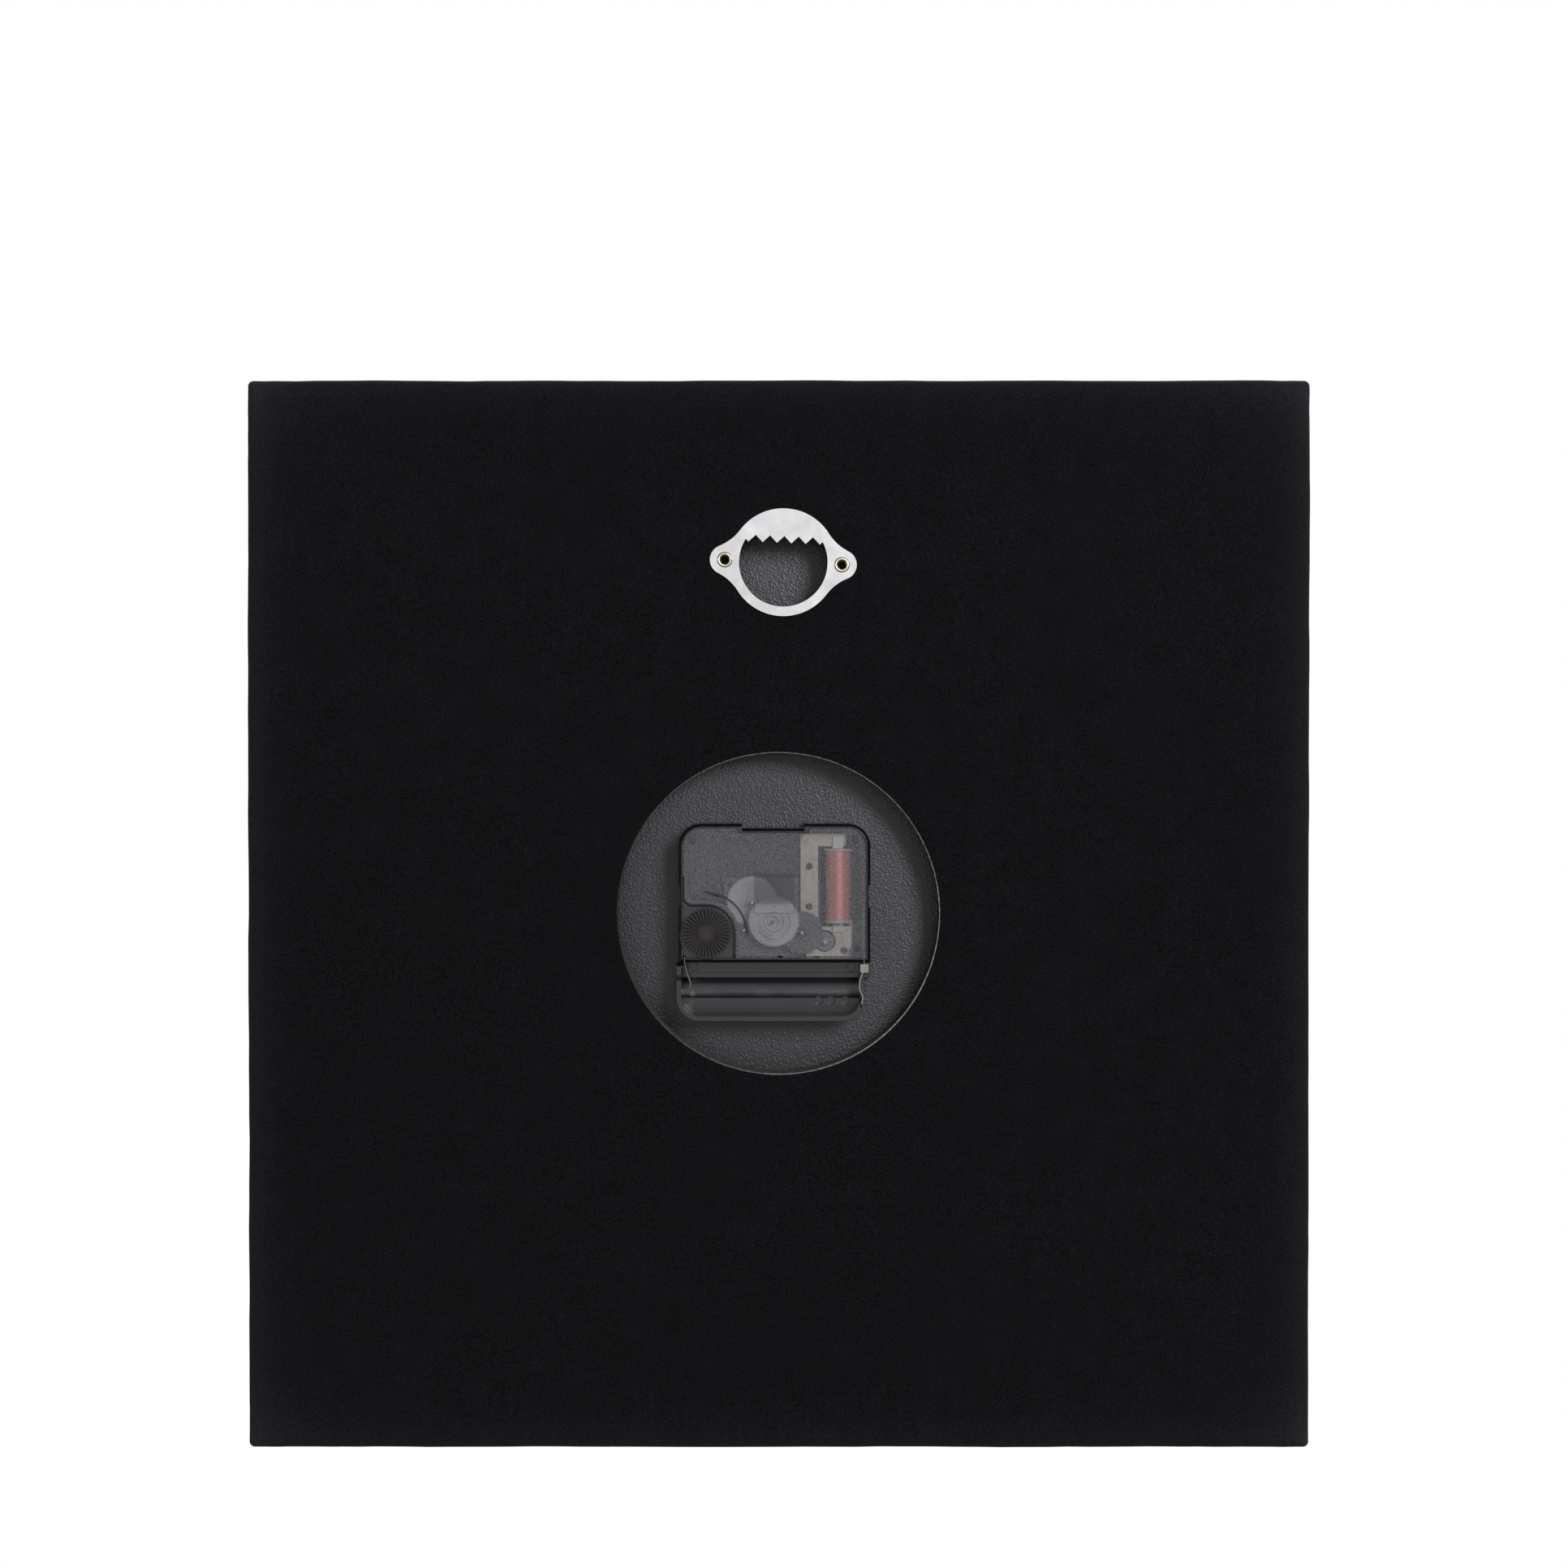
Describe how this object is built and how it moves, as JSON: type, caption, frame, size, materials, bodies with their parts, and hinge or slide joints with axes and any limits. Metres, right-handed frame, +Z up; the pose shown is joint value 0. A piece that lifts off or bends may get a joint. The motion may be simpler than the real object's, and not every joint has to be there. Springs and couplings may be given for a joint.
{
  "type": "wall clock",
  "caption": "Square wall clock: felt-covered back, quartz movement in a round recess, riveted sawtooth ring hanger, and a leather-grained dial with three slim hands.",
  "frame": {"origin": "the hanging point: root of the sawtooth hanger's middle notch, on the hanger's wall side", "axes": "+Z up, +Y towards the wall, the dial faces -Y, +X to the right as seen from the dial side"},
  "size_m": [0.3008, 0.036, 0.3026],
  "materials": {
    "fibreboard": "plain pressed board",
    "felt": "short black flock, matt, pale sheen along its edges",
    "backing_sheet": "thin pale paper under the felt",
    "grained_sheet": "dark grey leather grain, dull sheen",
    "leatherette": "black leather grain, satin",
    "bright_trim": "satin",
    "nickel_plate": "bright nickel plating",
    "rivet_brass": "polished",
    "fitting_brass": "turned",
    "housing_plastic": "black moulding, fine texture",
    "smoked_plastic": "smoked clear plastic, glossy",
    "natural_plastic": "off-white acetal",
    "plate_plastic": "dark grey moulding",
    "arrow_ink": "black foil",
    "black_rubber": "matt",
    "board_laminate": "green board",
    "black_resin": "cast resin",
    "enamelled_wire": "fine copper wire, red enamel",
    "soft_iron": "dull",
    "stator_cream": "cream, satin",
    "contact_steel": "bright spring steel",
    "magnet_dark": "dark sintered magnet",
    "arbor_steel": "polished",
    "knob_plastic": "brown-black moulding, ridged",
    "hand_aluminium": "satin"
  },
  "bodies": {
    "case": {"core_board": "fibreboard", "felt_cover": "felt", "felt_backing": "backing_sheet", "rear_liner": "grained_sheet", "dial_panel": "fibreboard", "dial_skin": "leatherette", "hour_markers": "bright_trim", "numerals": "bright_trim", "minute_dots": "bright_trim", "hanger_plate": "nickel_plate", "hanger_rivets": "rivet_brass", "front_housing": "housing_plastic", "threaded_bush": "fitting_brass", "rear_cover": "smoked_plastic", "cover_arrow": "arrow_ink", "middle_plate": "plate_plastic", "rubber_washer": "black_rubber", "brass_washer": "fitting_brass", "fixing_nut": "fitting_brass", "circuit_board": "board_laminate", "chip_blob": "black_resin", "quartz_crystal": "nickel_plate", "coil_bobbin": "natural_plastic", "coil_winding": "enamelled_wire", "coil_core": "soft_iron", "stator_plate": "stator_cream", "battery_contact_positive": "contact_steel", "battery_contact_negative": "contact_steel"},
    "second_train": {"seconds_wheel": "natural_plastic", "seconds_arbor": "arbor_steel", "second_hand": "hand_aluminium", "second_hand_tube": "hand_aluminium"},
    "rotor": {"rotor_magnet": "magnet_dark", "rotor_pinion": "natural_plastic", "rotor_arbor": "arbor_steel"},
    "intermediate": {"intermediate_wheel": "plate_plastic", "intermediate_arbor": "arbor_steel"},
    "third": {"third_wheel": "natural_plastic", "third_arbor": "arbor_steel"},
    "centre": {"centre_wheel": "natural_plastic"},
    "minute_train": {"minute_arbor": "arbor_steel", "cannon_pinion": "natural_plastic", "clutch_spring": "fitting_brass", "minute_hand": "hand_aluminium"},
    "motion": {"motion_wheel": "natural_plastic", "motion_arbor": "arbor_steel"},
    "hour_train": {"hour_wheel": "natural_plastic", "hour_tube": "natural_plastic", "hour_hand": "hand_aluminium"},
    "setting": {"setting_pinion": "natural_plastic", "setting_shaft": "arbor_steel", "setting_knob": "knob_plastic"}
  },
  "joints": [
    {"name": "second_hand_spin", "type": "hinge", "parent": "case", "child": "second_train", "pos_m": [0.00302, -0.0113, -0.10909], "axis": [0, 1, 0], "continuous": true},
    {"name": "rotor_spin", "type": "hinge", "parent": "case", "child": "rotor", "pos_m": [-0.0115, -0.0113, -0.1149], "axis": [0, 1, 0], "continuous": true},
    {"name": "intermediate_spin", "type": "hinge", "parent": "case", "child": "intermediate", "pos_m": [-0.005, -0.0113, -0.1123], "axis": [0, 1, 0], "continuous": true},
    {"name": "third_spin", "type": "hinge", "parent": "case", "child": "third", "pos_m": [0.00921, -0.0113, -0.10371], "axis": [0, 1, 0], "continuous": true},
    {"name": "centre_spin", "type": "hinge", "parent": "case", "child": "centre", "pos_m": [0.00302, -0.0113, -0.10909], "axis": [0, 1, 0], "continuous": true},
    {"name": "minute_hand_spin", "type": "hinge", "parent": "case", "child": "minute_train", "pos_m": [0.00302, -0.0113, -0.10909], "axis": [0, 1, 0], "continuous": true},
    {"name": "motion_spin", "type": "hinge", "parent": "case", "child": "motion", "pos_m": [0.01155, -0.0113, -0.11198], "axis": [0, 1, 0], "continuous": true},
    {"name": "hour_hand_spin", "type": "hinge", "parent": "case", "child": "hour_train", "pos_m": [0.00302, -0.0113, -0.10909], "axis": [0, 1, 0], "continuous": true},
    {"name": "setting_knob_spin", "type": "hinge", "parent": "case", "child": "setting", "pos_m": [0.02222, -0.0113, -0.11249], "axis": [0, 1, 0], "continuous": true}
  ],
  "couplings": [
    {"joint": "intermediate_spin", "follows": "second_hand_spin", "ratio": -5},
    {"joint": "rotor_spin", "follows": "second_hand_spin", "ratio": 30},
    {"joint": "third_spin", "follows": "second_hand_spin", "ratio": -0.13333},
    {"joint": "centre_spin", "follows": "second_hand_spin", "ratio": 0.016667},
    {"joint": "motion_spin", "follows": "minute_hand_spin", "ratio": -0.33333},
    {"joint": "hour_hand_spin", "follows": "minute_hand_spin", "ratio": 0.083333},
    {"joint": "setting_knob_spin", "follows": "minute_hand_spin", "ratio": 0.57143}
  ]
}
